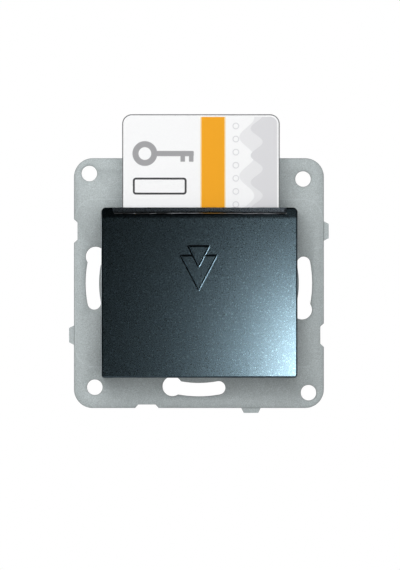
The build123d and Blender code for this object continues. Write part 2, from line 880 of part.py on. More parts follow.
def make_load_terminal():
    """Strip from the closing contact across to the right-hand terminal."""
    depth = (load_strip_front, load_strip_back)
    half = strip_width / 2
    bar_bottom = link_bar_top - link_bar_height
    strip = block((-half, half), depth, (contact_z - strip_tail, link_bar_top))
    strip += block((-half, side_terminal + half), depth, (bar_bottom, link_bar_top))
    strip += block((side_terminal - half, side_terminal + half), depth, (bar_bottom, terminal_top))
    strip += terminal_plate(side_terminal, load_strip_front, load_strip_front + terminal_length)
    return with_fold(strip, load_strip_front)


def make_line_terminal():
    """Strip from the left-hand terminal down to the ear that grips the lever pin."""
    depth = (load_strip_front, load_strip_back)
    ear_right = lever_left - part_gap - bearing_thickness - part_gap
    ear_left = ear_right - strip_thickness
    ear_top = pivot_height + line_ear_height / 2
    outer = -side_terminal - strip_width / 2
    bar_bottom = link_bar_top - link_bar_height
    drop_bottom = ear_top - line_ear_height / 4
    strip = block((outer, outer + strip_width), depth, (bar_bottom, terminal_top))
    strip += block((outer, ear_right), depth, (bar_bottom, link_bar_top))
    strip += block((ear_right - line_drop_width, ear_right), depth, (drop_bottom, link_bar_top))
    strip += block(
        (ear_left, ear_right),
        (load_strip_front, pivot_depth + line_ear_reach),
        (pivot_height - line_ear_height / 2, ear_top),
    )
    strip -= rod(
        (ear_left - overrun, pivot_depth, pivot_height),
        (ear_right + overrun, pivot_depth, pivot_height),
        pin_radius + running_gap,
    )
    strip += terminal_plate(-side_terminal, load_strip_front, load_strip_front + terminal_length)
    return with_fold(strip, load_strip_front)


def make_spare_terminal():
    """Strip from the break contact, behind the lever, up to the middle terminal."""
    front = rear_contact_face() + tip_thickness
    back = front + strip_thickness
    neck_bottom = contact_z + tip_radius + strip_tail
    strip = block((-strip_width / 2, strip_width / 2), (front, back), (contact_z - strip_tail, neck_bottom))
    strip += block((-spare_neck_width / 2, spare_neck_width / 2), (front, back), (neck_bottom, terminal_top))
    strip += terminal_plate(0, back - terminal_length, back)
    return with_fold(strip, back)


def make_clamp_plates():
    """Threaded plates that the terminal screws draw up against the conductors."""
    plates = []
    for place in terminal_places:
        plate = block(
            (place - clamp_width / 2, place + clamp_width / 2),
            (terminal_screw_depth - clamp_length / 2, terminal_screw_depth + clamp_length / 2),
            (clamp_top - clamp_thickness, clamp_top),
        )
        plates.append(
            plate
            - rod(
                (place, terminal_screw_depth, clamp_top - clamp_thickness - overrun),
                (place, terminal_screw_depth, clamp_top + overrun),
                terminal_screw_radius + running_gap,
            )
        )
    return Part() + plates


def make_terminal_screws():
    """Three captive screws whose heads lie in the housing's top wall."""
    seat = housing_inner_height - part_gap
    length = seat - clamp_top + clamp_thickness
    screws = [
        slotted_screw(
            (place, terminal_screw_depth, seat),
            (0, 0, -1),
            terminal_head_radius,
            terminal_head_height,
            terminal_screw_radius,
            length,
        )
        for place in terminal_places
    ]
    return Part() + screws


def make_assembly_screws():
    """Four screws that hold the guide, the frame and the housing together."""
    seat = plate_front - foot_thickness
    screws = [
        slotted_screw(
            (side * ear_offset, seat, end * ear_height_offset),
            (0, 1, 0),
            screw_head_radius,
            screw_head_height,
            screw_radius,
            screw_length,
        )
        for side in (-1, 1)
        for end in (-1, 1)
    ]
    return Part() + screws


def make_claw(side):
    """Folded steel claw with a toothed front edge and a slotted foot on two trunnions."""
    rear = claw_pivot_depth + claw_metal - part_gap
    inner = claw_pivot_offset - claw_leg_inset
    web_outer = claw_web_offset + claw_metal
    half_height = claw_inner_half_height + claw_metal
    leg_line = Polyline(
        (side * inner, rear),
        (side * inner, claw_pivot_depth - claw_web_offset + claw_pivot_offset),
        (side * claw_screw_offset, claw_front),
        (side * web_outer, claw_front),
        (side * web_outer, rear),
        close=True,
    )
    leg = make_face(leg_line)
    claw = extrude(Plane.XY.offset(-half_height) * leg, amount=half_height * 2)
    folds = [edge for edge in claw.edges() if abs(abs(edge.center().X) - web_outer) < tiny]
    claw = fillet([edge for edge in folds if abs(edge.center().Z) > tiny], claw_bend)
    claw -= block(
        sorted((side * (inner - overrun), side * claw_web_offset)),
        (claw_front - overrun, rear - claw_metal),
        (-claw_inner_half_height, claw_inner_half_height),
    )
    claw -= block(
        sorted(side * edge for edge in claw_hole_edges()),
        (rear - claw_metal - overrun, rear + overrun),
        (-claw_screw_radius - sliding_gap, claw_screw_radius + sliding_gap),
    )
    flat_half = half_height - claw_bend
    pitch = flat_half * 2 / claw_tooth_count
    for tooth in range(claw_tooth_count):
        low = -flat_half + pitch * tooth
        profile = Polyline((0, low), (claw_tooth_reach, low + pitch / 2), (0, low + pitch), close=True)
        plane = Plane(origin=(side * web_outer, claw_front, 0), x_dir=(side, 0, 0), z_dir=(0, -side, 0))
        claw += extrude(plane * make_face(profile), amount=-side * claw_metal)
    place = side * claw_pivot_offset
    for end in (-1, 1):
        claw += rod(
            (place, claw_pivot_depth, end * claw_inner_half_height),
            (place, claw_pivot_depth, end * (half_height + claw_trunnion_reach)),
            claw_trunnion_radius,
        )
    return claw


def claw_hole_edges():
    """Distances from the middle plane to the edges of the foot's hole, clear of the screw at full swing."""
    swing = radians(claw_swing)
    screw_half = claw_screw_radius + sliding_gap
    screw_place = claw_screw_offset - claw_pivot_offset
    near = screw_place - screw_half - part_gap * sin(swing)
    far = (screw_place + screw_half + (claw_metal - part_gap) * sin(swing)) / cos(swing)
    return claw_pivot_offset + near, claw_pivot_offset + far


def make_claw_screw(side):
    """Screw through the frame that draws a claw outward."""
    return slotted_screw(
        (side * claw_screw_offset, plate_front, 0),
        (0, 1, 0),
        claw_screw_head_radius,
        claw_screw_head_height,
        claw_screw_radius,
        claw_pivot_depth + claw_screw_tail - plate_front,
    )


def make_parts():
    """Every node of the switch by name."""
    return {
        "mounting_frame": make_mounting_frame(),
        "front_cover": make_front_cover(),
        "card_guide": make_card_guide(),
        "card_springs": make_card_springs(),
        "key_card": make_key_card(),
        "card_plunger": make_card_plunger(),
        "plunger_spring": make_plunger_spring(),
        "mechanism_cover": make_mechanism_cover(),
        "housing": make_housing(),
        "assembly_screws": make_assembly_screws(),
        "lever_pin": make_lever_pin(),
        "contact_lever": make_contact_lever(),
        "moving_contact": make_moving_contact(),
        "moving_tips": make_moving_tips(),
        "fixed_tips": make_fixed_tips(),
        "line_terminal": make_line_terminal(),
        "load_terminal": make_load_terminal(),
        "spare_terminal": make_spare_terminal(),
        "clamp_plates": make_clamp_plates(),
        "terminal_screws": make_terminal_screws(),
        "left_claw": make_claw(-1),
        "right_claw": make_claw(1),
        "left_claw_screw": make_claw_screw(-1),
        "right_claw_screw": make_claw_screw(1),
    }


for name, part in make_parts().items():
    print(name, round(part.volume, 2))
    export_step(part, f"parts/{name}.step")
print("card travel", round(card_travel, 3), "plunger travel", plunger_travel)
print("lever swing", round(lever_swing, 4), "claw swing", claw_swing)
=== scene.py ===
"""Blender scene of a hotel key card switch: finishes, engraved cover, card print, lights and camera."""

import logging
import math
from dataclasses import dataclass
from enum import Enum
from typing import ClassVar

import bmesh
import bpy
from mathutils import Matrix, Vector


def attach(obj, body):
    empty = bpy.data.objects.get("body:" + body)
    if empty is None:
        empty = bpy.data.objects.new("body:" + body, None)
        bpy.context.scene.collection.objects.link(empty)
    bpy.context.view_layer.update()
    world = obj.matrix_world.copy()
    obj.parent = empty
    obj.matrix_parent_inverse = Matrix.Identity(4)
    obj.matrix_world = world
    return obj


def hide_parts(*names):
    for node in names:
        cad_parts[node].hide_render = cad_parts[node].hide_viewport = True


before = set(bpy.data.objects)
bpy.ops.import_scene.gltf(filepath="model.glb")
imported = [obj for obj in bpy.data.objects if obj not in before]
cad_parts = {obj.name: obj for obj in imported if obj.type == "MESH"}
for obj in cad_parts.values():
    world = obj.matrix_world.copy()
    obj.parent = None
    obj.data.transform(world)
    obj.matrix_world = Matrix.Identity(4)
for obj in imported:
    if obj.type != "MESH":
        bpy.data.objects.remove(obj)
LOG = logging.getLogger("scene")

Pair = tuple[float, float]
Triple = tuple[float, float, float]
Colour = Triple
Socket = bpy.types.NodeSocket
Feed = Socket | float | Vector | Triple

MM = 0.001
ORIGIN = (0.0, 0.0, 0.0)
WHITE = (1.0, 1.0, 1.0)
FRONT = (0.0, -1.0, 0.0)
NOISE_TILT = (0.7, 0.5, 0.3)  # turns a noise's grid off the part's faces
NOISE_RANGE = (0.3, 0.7)  # most values of a noise
SHARP_ANGLE = math.radians(28)  # edges that fold further stay sharp
SEAM = 0.001 * MM  # corners as near as this are one
LEVEL = 0.01 * MM  # what is as near as this to a plane lies in it
HOOD = "engraved_cover"


class Slot(Enum):
    """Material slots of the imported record."""

    FRAME_STEEL = "frame_steel"
    COVER_LACQUER = "cover_lacquer"
    CARD_PLASTIC = "card_plastic"
    BLACK_PLASTIC = "black_plastic"
    GREY_PLASTIC = "grey_plastic"
    HOUSING_PLASTIC = "housing_plastic"
    SPRING_STEEL = "spring_steel"
    ZINC_SCREW = "zinc_screw"
    CLAW_STEEL = "claw_steel"
    CONTACT_BRASS = "contact_brass"
    CONTACT_SILVER = "contact_silver"


class Reach(Enum):
    """Which pieces a light falls on."""

    ALL = "all"
    COVER = "cover"
    ALL_BUT_COVER = "all_but_cover"


class Axis(Enum):
    """Object axes, by their place in a vector."""

    X = 0
    Y = 1
    Z = 2


class Easing(Enum):
    """Ways from one end of a range to the other, by Blender's names."""

    STRAIGHT = "LINEAR"
    SOFT = "SMOOTHSTEP"


@dataclass(frozen=True)
class Noise:
    """Noise with its feature size in metres, its number of finer octaves and its scale along each axis."""

    size: float
    detail: float = 2.0
    stretch: Triple = (1.0, 1.0, 1.0)


@dataclass(frozen=True)
class Veil:
    """Tone laid over a colour: the two limits of what it follows, its share at each limit, and the tone."""

    limits: Pair
    shares: Pair
    tone: float


@dataclass(frozen=True)
class Box:
    """Rounded rectangle in the front view: its middle and half its sizes, x and z, and its corner radius."""

    middle: Pair
    half: Pair
    radius: float = 0.0


@dataclass(frozen=True)
class CrownedFace:
    """Front face of the hood, which curves back towards both sides."""

    front: float = -14.9 * MM
    crown: float = 0.5 * MM
    half_width: float = 27.7 * MM

    def depth(self, across: float) -> float:
        """Return the y of the face at a distance from the middle."""
        return self.front + self.crown * (across / self.half_width) ** 2

    def radius(self) -> float:
        """Return the radius of the face's curve."""
        return self.half_width**2 / (2 * self.crown)


def shade(colour: Colour, factor: float) -> Colour:
    """Return a colour made lighter or darker by a factor."""
    return tuple(min(1.0, part * factor) for part in colour)


class NodeTree:
    """Builder for the nodes of a material or a world."""

    def __init__(self, owner: bpy.types.ID) -> None:
        """Clear the owner's nodes and add its coordinates.

        Args:
            owner: Material or world that holds the nodes.
        """
        owner.use_nodes = True
        self.tree = owner.node_tree
        self.tree.nodes.clear()
        self.place = self.add("TexCoord")

    def put(self, socket: Socket, value: Feed) -> None:
        """Feed a socket from another socket or set it to a plain value.

        Args:
            socket: Input socket.
            value: Output socket, number, vector or colour.
        """
        if isinstance(value, Socket):
            self.tree.links.new(value, socket)
        elif socket.type == "RGBA":
            socket.default_value = (*value, 1.0)
        else:
            socket.default_value = value

    def add(
        self, kind: str, inputs: dict[str | int, Feed] | None = None, **settings: object
    ) -> bpy.types.Node:
        """Add a node.

        Args:
            kind: Blender's name of the node, without its prefix.
            inputs: What feeds each input socket, by the socket's name or place.
            settings: Values of the node's own settings.

        Returns:
            The node.
        """
        node = self.tree.nodes.new(f"ShaderNode{kind}")
        for name, value in settings.items():
            setattr(node, name, value)
        for key, value in (inputs or {}).items():
            self.put(node.inputs[key], value)
        return node

    def maths(self, operation: str, first: Feed, second: Feed | None = None) -> Socket:
        """Add a math node.

        Args:
            operation: Blender's name of the operation.
            first: First operand.
            second: Second operand, where there is one.

        Returns:
            The node's value.
        """
        operands = {0: first} if second is None else {0: first, 1: second}
        return self.add("Math", operands, operation=operation).outputs[0]

    def lean(self, direction: Socket, way: Triple) -> Socket:
        """Measure how far a direction leans one way.

        Args:
            direction: Direction of length 1.
            way: Way that it is held against, of any length.

        Returns:
            1 where both agree, down to -1 where they are opposed.
        """
        aims = {0: direction, 1: Vector(way).normalized()}
        return self.add("VectorMath", aims, operation="DOT_PRODUCT").outputs["Value"]

    def span(
        self, value: Feed, limits: Pair, results: Pair = (0.0, 1.0), easing: Easing = Easing.SOFT
    ) -> Socket:
        """Map a value from one range to another, held at both ends.

        Args:
            value: What is mapped.
            limits: Values that give the two results.
            results: Result at each limit.
            easing: Way from one result to the other.

        Returns:
            The mapped value.
        """
        names = ("Value", "From Min", "From Max", "To Min", "To Max")
        inputs = dict(zip(names, (value, *limits, *results)))
        return self.add("MapRange", inputs, interpolation_type=easing.value).outputs["Result"]


class SurfaceTree(NodeTree):
    """Builder for one procedural material."""

    def __init__(self, name: str) -> None:
        """Start a material that holds one principled shader.

        Args:
            name: Name of the new material.
        """
        self.material = bpy.data.materials.new(name)
        super().__init__(self.material)
        self.shader = self.add("BsdfPrincipled")
        self.add("OutputMaterial", {"Surface": self.shader.outputs["BSDF"]})
        self.spot = self.add("SeparateXYZ", {0: self.place.outputs["Object"]})

    def surface(self, **values: Feed) -> None:
        """Set the principled shader's inputs.

        Args:
            values: Input names, with underscores for spaces, and what feeds each.
        """
        for name, value in values.items():
            self.put(self.shader.inputs[name.replace("_", " ")], value)

    def along(self, axis: Axis) -> Socket:
        """Return the object coordinate along one axis, in metres."""
        return self.spot.outputs[axis.value]

    def toward(self, way: Triple) -> Socket:
        """Return how far the surface faces one way of the object, from -1 to 1."""
        return self.lean(self.place.outputs["Normal"], way)

    def facing(self, axis: Axis) -> Socket:
        """Return how far the surface faces along one axis, either way, from 0 to 1."""
        split = self.add("SeparateXYZ", {0: self.place.outputs["Normal"]})
        return self.maths("ABSOLUTE", split.outputs[axis.value])

    def noise(self, noise: Noise) -> Socket:
        """Add a noise on object coordinates.

        Args:
            noise: Size, detail and stretch of the noise.

        Returns:
            The noise's value, about 0.5 on average.
        """
        spot = self.place.outputs["Object"]
        mapped = self.add("Mapping", {"Vector": spot, "Scale": noise.stretch, "Rotation": NOISE_TILT})
        inputs = {"Vector": mapped.outputs[0], "Scale": 1.0 / noise.size, "Detail": noise.detail}
        return self.add("TexNoise", inputs).outputs["Fac"]

    def cells(self, size: float) -> Socket:
        """Fill the object's space with cells.

        Args:
            size: About the size of a cell in metres.

        Returns:
            One random value, from 0 to 1, for each cell.
        """
        cells = self.add("TexVoronoi", {"Vector": self.place.outputs["Object"], "Scale": 1.0 / size})
        return self.add("SeparateColor", {0: cells.outputs["Color"]}).outputs[0]

    def band(self, value: Feed, limits: Pair, soft: float) -> Socket:
        """Pick out the values between two limits.

        Args:
            value: What is tested.
            limits: Lower and upper limit.
            soft: Half the width of each limit's ramp.

        Returns:
            1 between the limits and 0 outside them.
        """
        low, high = limits
        rising = self.span(value, (low - soft, low + soft))
        falling = self.span(value, (high - soft, high + soft), (1.0, 0.0))
        return self.maths("MULTIPLY", rising, falling)

    def length(self, first: Feed, second: Feed) -> Socket:
        """Return the length of a vector from its two parts."""
        squares = [self.maths("MULTIPLY", part, part) for part in (first, second)]
        return self.maths("SQRT", self.maths("ADD", *squares))

    def outside(self, box: Box) -> Socket:
        """Measure the distance to a rounded rectangle seen from the front.

        Args:
            box: The rectangle.

        Returns:
            The distance in metres, below zero inside.
        """
        sides = []
        for axis, middle, half in zip((Axis.X, Axis.Z), box.middle, box.half):
            offset = self.maths("ABSOLUTE", self.maths("SUBTRACT", self.along(axis), middle))
            sides.append(self.maths("SUBTRACT", offset, half - box.radius))
        outer = self.length(*(self.maths("MAXIMUM", side, 0.0) for side in sides))
        inner = self.maths("MINIMUM", self.maths("MAXIMUM", *sides), 0.0)
        return self.maths("SUBTRACT", self.maths("ADD", outer, inner), box.radius)

    def within(self, box: Box) -> Socket:
        """Return 1 inside a rectangle seen from the front and 0 outside it."""
        return self.maths("LESS_THAN", self.outside(box), 0.0)

    def mix(self, share: Feed, first: Feed, second: Feed) -> Socket:
        """Mix two colours.

        Args:
            share: Share of the second colour, from 0 to 1.
            first: First colour.
            second: Second colour.

        Returns:
            The mixed colour.
        """
        return self.add("Mix", {0: share, 6: first, 7: second}, data_type="RGBA").outputs[2]

    def grained(self, noise: Socket, colour: Colour, tones: Pair) -> Socket:
        """Vary a colour with a noise.

        Args:
            noise: Value of the noise.
            colour: Colour that is varied.
            tones: Factors of the colour where the noise is low and high.

        Returns:
            The varied colour.
        """
        low, high = (shade(colour, tone) for tone in tones)
        return self.mix(self.span(noise, NOISE_RANGE), low, high)

    def veiled(self, under: Socket, pattern: Socket, veil: Veil, colour: Colour) -> Socket:
        """Lay a tone of a finish's own colour over the finish.

        Args:
            under: Colour of the finish so far.
            pattern: Value that the veil follows.
            veil: Limits, shares and tone of the veil.
            colour: Plain colour that the tone is made from.

        Returns:
            The colour with the veil.
        """
        return self.mix(self.span(pattern, veil.limits, veil.shares), under, shade(colour, veil.tone))

    def roughen(self, noise: Socket, middle: float, swing: Pair) -> None:
        """Vary the shader's roughness with a noise.

        Args:
            noise: Value of the noise.
            middle: Roughness that is varied.
            swing: What the noise adds where it is low and high.
        """
        self.surface(Roughness=self.span(noise, NOISE_RANGE, (middle + swing[0], middle + swing[1])))

    def emboss(self, height: Socket, relief: Pair) -> None:
        """Give the shader a bump.

        Args:
            height: Height map.
            relief: Height of 1 on the map in metres, and the share of it that shows.
        """
        depth, strength = relief
        bump = self.add("Bump", {"Strength": strength, "Distance": depth, "Height": height})
        self.surface(Normal=bump.outputs[0])


@dataclass(frozen=True)
class SheetSteel:
    """Galvanised sheet with fine spangle, rolling marks, darker cut edges, painted shade on its rolled front
    edges and a faint pressed line.
    """

    name: str
    colour: Colour = (0.42, 0.465, 0.470)
    metallic: float = 0.15
    roughness: float = 0.55
    roughness_swing: Pair = (-0.1, 0.1)
    relief: Pair = (0.012 * MM, 0.6)
    fine: Noise = Noise(0.22 * MM)
    fine_tones: Pair = (0.74, 1.22)
    cloud: Noise = Noise(2.6 * MM, 3.0)
    cloud_veil: Veil = Veil((0.35, 0.65), (0.0, 0.30), 0.86)
    spangle_size: float = 0.5 * MM
    spangle_veil: Veil = Veil((0.80, 1.0), (0.0, 0.22), 1.35)
    marks: Noise = Noise(0.16 * MM, 1.0, (0.05, 1.0, 1.0))
    marks_veil: Veil = Veil((0.66, 0.74), (0.0, 0.30), 1.30)
    pressed: Box = Box((0.0, 0.0), (35.0 * MM, 23.75 * MM), 5.5 * MM)
    pressed_width: float = 0.3 * MM
    pressed_share: float = 0.25
    pressed_tone: float = 1.5
    pressed_height: float = 2.0
    # Painted shade: faces that turn from the front, such as the rolled edges, are darkened.
    rolled_edge_shade: Veil = Veil((0.95, 0.99), (0.55, 0.0), 0.55)
    cut_veil: Veil = Veil((0.35, 0.8), (1.0, 0.0), 0.34)

    def material(self) -> bpy.types.Material:
        """Build the finish.

        Returns:
            The material.
        """
        nodes = SurfaceTree(self.name)
        fine = nodes.noise(self.fine)
        tone = nodes.grained(fine, self.colour, self.fine_tones)
        for pattern, veil in (
            (nodes.noise(self.cloud), self.cloud_veil),
            (nodes.cells(self.spangle_size), self.spangle_veil),
            (nodes.noise(self.marks), self.marks_veil),
        ):
            tone = nodes.veiled(tone, pattern, veil, self.colour)
        line = self.pressed_line(nodes)
        share = nodes.maths("MULTIPLY", line, self.pressed_share)
        tone = nodes.mix(share, tone, shade(self.colour, self.pressed_tone))
        facing = nodes.facing(Axis.Y)
        # Painted shade on the rolled front edges, then the darker tone of the cut edges.
        for veil in (self.rolled_edge_shade, self.cut_veil):
            tone = nodes.veiled(tone, facing, veil, self.colour)
        nodes.surface(Base_Color=tone, Metallic=self.metallic)
        nodes.roughen(fine, self.roughness, self.roughness_swing)
        raised = nodes.maths("MULTIPLY", line, self.pressed_height)
        nodes.emboss(nodes.maths("ADD", fine, raised), self.relief)
        return nodes.material

    def pressed_line(self, nodes: SurfaceTree) -> Socket:
        """Find the faint line that the press left around the middle.

        Args:
            nodes: Material that takes the line.

        Returns:
            1 on the line's front, below 0 on its back and 0 elsewhere.
        """
        half = self.pressed_width / 2
        line = nodes.band(nodes.outside(self.pressed), (-half, half), half)
        return nodes.maths("MULTIPLY", line, nodes.toward(FRONT))


@dataclass(frozen=True)
class SatinLacquer:
    """Anthracite lacquer with fine metallic grain, with painted shade in the engraving, on its turned edges
    and its brow, a painted highlight on the engraving's walls that face the light, and painted light on its
    lip.
    """

    name: str
    colour: Colour = (0.192, 0.284, 0.345)
    roughness: float = 0.31
    roughness_swing: Pair = (-0.07, 0.07)
    relief: Pair = (0.007 * MM, 0.5)
    grain: Noise = Noise(0.16 * MM, 1.0)
    grain_tones: Pair = (0.82, 1.14)
    flake_size: float = 0.26 * MM
    flake_veil: Veil = Veil((0.86, 1.0), (0.0, 0.6), 2.1)
    # Painted shade on the fillets and sides, which turn away from the front.
    turned_edge_shade: Veil = Veil((0.93, 0.998), (1.0, 0.0), 0.30)
    # Painted shade: a dark band along the top of the face, below the lip.
    brow_shade: Veil = Veil((17.9 * MM, 18.9 * MM), (0.0, 0.85), 0.10)
    lip: Box = Box((0.0, 20.7 * MM), (24.6 * MM, 0.80 * MM))
    # Painted light: the recessed lip is coloured lighter than the lacquer.
    lip_painted_light: Colour = (0.30, 0.36, 0.43)
    lip_front: float = -13.9 * MM
    # Painted highlight along the edge below the lip.
    lit_edge: Box = Box((0.3 * MM, 19.68 * MM), (24.4 * MM, 0.17 * MM))
    edge_highlight_colour: Colour = (0.34, 0.36, 0.38)
    face: CrownedFace = CrownedFace()
    engraved: Box = Box((-0.2 * MM, 4.3 * MM), (6.0 * MM, 7.2 * MM))
    engraved_depths: Pair = (0.012 * MM, 0.05 * MM)
    # Painted shade in the engraving and a painted highlight on its walls that face the light.
    groove_shade_and_highlight: Pair = (0.02, 2.6)
    highlight_way: Triple = (-0.9, 0.0, 0.42)
    highlight_limits: Pair = (0.15, 0.35)
    hollow: Box = Box((0.0, -2.75 * MM), (27.2 * MM, 22.85 * MM))
    hollow_front: float = -12.1 * MM
    bare_colour: Colour = (0.02, 0.021, 0.023)

    def material(self) -> bpy.types.Material:
        """Build the finish.

        Returns:
            The material.
        """
        nodes = SurfaceTree(self.name)
        grain = nodes.noise(self.grain)
        tone = nodes.grained(grain, self.colour, self.grain_tones)
        # The flakes are the lacquer's own; the turned edges and the brow get painted shade.
        for pattern, veil in (
            (nodes.cells(self.flake_size), self.flake_veil),
            (nodes.toward(FRONT), self.turned_edge_shade),
            (nodes.along(Axis.Z), self.brow_shade),
        ):
            tone = nodes.veiled(tone, pattern, veil, self.colour)
        tone = self.engrave(nodes, self.line_lip(nodes, tone))
        behind = nodes.maths("GREATER_THAN", nodes.along(Axis.Y), self.hollow_front)
        bare = nodes.maths("MULTIPLY", nodes.within(self.hollow), behind)
        tone = nodes.mix(bare, tone, self.bare_colour)
        nodes.surface(Base_Color=tone, Metallic=nodes.maths("SUBTRACT", 1.0, bare))
        nodes.roughen(grain, self.roughness, self.roughness_swing)
        nodes.emboss(grain, self.relief)
        return nodes.material

    def line_lip(self, nodes: SurfaceTree, tone: Socket) -> Socket:
        """Paint light onto the recessed lip, and a painted highlight onto the edge below it.

        Args:
            nodes: Material that takes the colours.
            tone: Colour so far.

        Returns:
            The colour with both.
        """
        recessed = nodes.maths("GREATER_THAN", nodes.along(Axis.Y), self.lip_front)
        # Painted light on the lip, and a painted highlight on the edge below it.
        for box, colour, share in (
            (self.lip, self.lip_painted_light, recessed),
            (self.lit_edge, self.edge_highlight_colour, nodes.maths("SUBTRACT", 1.0, recessed)),
        ):
            tone = nodes.mix(nodes.maths("MULTIPLY", nodes.within(box), share), tone, colour)
        return tone

    def engrave(self, nodes: SurfaceTree, tone: Socket) -> Socket:
        """Paint shade into what lies below the crowned face, and a painted highlight onto its walls that face
        the light.

        Args:
            nodes: Material that takes the colours.
            tone: Colour so far.

        Returns:
            The colour with the engraving's painted shade and highlight.
        """
        across = nodes.maths("DIVIDE", nodes.along(Axis.X), self.face.half_width)
        crowned = nodes.maths("MULTIPLY", nodes.maths("MULTIPLY", across, across), self.face.crown)
        surface = nodes.maths("ADD", crowned, self.face.front)
        below = nodes.maths("SUBTRACT", nodes.along(Axis.Y), surface)
        cut = nodes.maths("MULTIPLY", nodes.span(below, self.engraved_depths), nodes.within(self.engraved))
        # Painted highlight on the walls that face the light; dark is the painted shade of the rest of the
        # engraving.
        highlighted = nodes.span(nodes.toward(self.highlight_way), self.highlight_limits)
        dark, wall_highlight = (shade(self.colour, factor) for factor in self.groove_shade_and_highlight)
        return nodes.mix(cut, tone, nodes.mix(highlighted, dark, wall_highlight))


@dataclass(frozen=True)
class MouldedPlastic:
    """Moulded plastic with a fine eroded texture."""

    name: str
    colour: Colour
    roughness: float = 0.5
    texture: Noise = Noise(0.35 * MM, 3.0)
    mottle: float = 0.12
    roughness_swing: Pair = (-0.08, 0.08)
    relief: Pair = (0.02 * MM, 0.5)
    patches: Noise = Noise(6.0 * MM)
    gloss: float = 0.45

    def material(self) -> bpy.types.Material:
        """Build the finish.

        Returns:
            The material.
        """
        nodes = SurfaceTree(self.name)
        texture = nodes.noise(self.texture)
        tones = (1.0 - self.mottle, 1.0 + self.mottle)
        tone = nodes.grained(nodes.noise(self.patches), self.colour, tones)
        nodes.surface(Base_Color=tone, Specular_IOR_Level=self.gloss)
        nodes.roughen(texture, self.roughness, self.roughness_swing)
        nodes.emboss(texture, self.relief)
        return nodes.material


@dataclass(frozen=True)
class BareMetal:
    """Plated, rolled or drawn metal with fine brushing along one axis."""

    name: str
    colour: Colour
    roughness: float = 0.32
    grain: Axis = Axis.Z
    metallic: float = 0.95
    roughness_swing: Pair = (-0.06, 0.10)
    relief: Pair = (0.006 * MM, 0.5)
    brush_size: float = 0.12 * MM
    brush_stretch: float = 0.12
    brush_tones: Pair = (0.86, 1.08)
    cloud: Noise = Noise(1.8 * MM)
    cloud_veil: Veil = Veil((0.45, 0.75), (0.0, 0.35), 0.72)

    def material(self) -> bpy.types.Material:
        """Build the finish.

        Returns:
            The material.
        """
        nodes = SurfaceTree(self.name)
        stretch = tuple(self.brush_stretch if axis is self.grain else 1.0 for axis in Axis)
        brushed = nodes.noise(Noise(self.brush_size, stretch=stretch))
        cloud = nodes.noise(self.cloud)
        tone = nodes.grained(brushed, self.colour, self.brush_tones)
        tone = nodes.veiled(tone, cloud, self.cloud_veil, self.colour)
        nodes.surface(Base_Color=tone, Metallic=self.metallic)
        nodes.roughen(cloud, self.roughness, self.roughness_swing)
        nodes.emboss(brushed, self.relief)
        return nodes.material


@dataclass(frozen=True)
class Wave:
    """Printed wavy edge: its place across the card, its swing, its length and the share of what it bounds."""

    place: float
    swing: float
    length: float
    share: float


